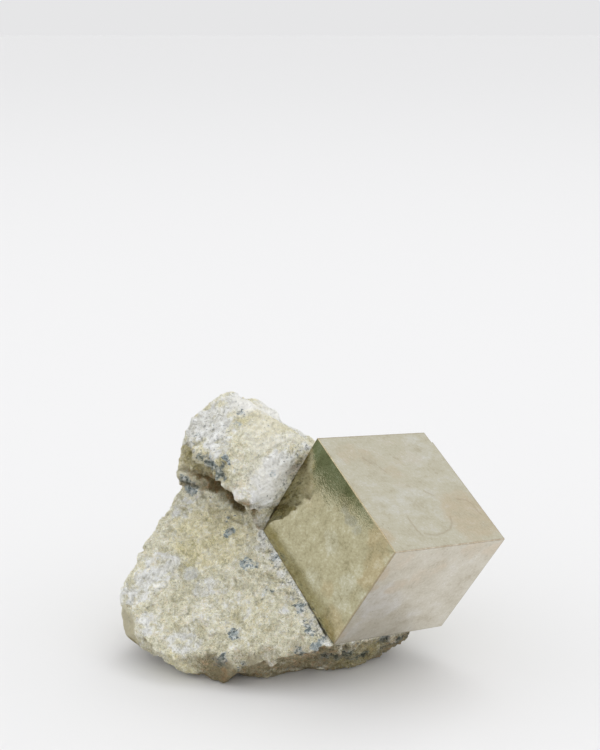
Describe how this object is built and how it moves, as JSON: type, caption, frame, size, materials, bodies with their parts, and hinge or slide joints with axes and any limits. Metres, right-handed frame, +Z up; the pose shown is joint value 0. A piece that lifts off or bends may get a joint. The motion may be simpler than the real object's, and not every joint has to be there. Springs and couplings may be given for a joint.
{
  "type": "pyrite specimen",
  "caption": "Mineral specimen: a bright metallic pyrite cube standing tilted out of a broken lump of pale marl, which rests on its own base.",
  "frame": {"origin": "on the resting plane, under the middle of the box round the whole specimen", "axes": "+Z up from the resting plane; +X from the lump of rock towards the free side of the crystal; -Y towards the viewer, on the side where three faces of the crystal show"},
  "size_m": [0.0784, 0.064, 0.0527],
  "materials": {
    "pyrite": "natural crystal face, metallic, slightly tarnished",
    "marl": "broken, granular, matte"
  },
  "bodies": {
    "root": {"pyrite_cube": "pyrite", "matrix_rock": "marl"}
  },
  "joints": []
}
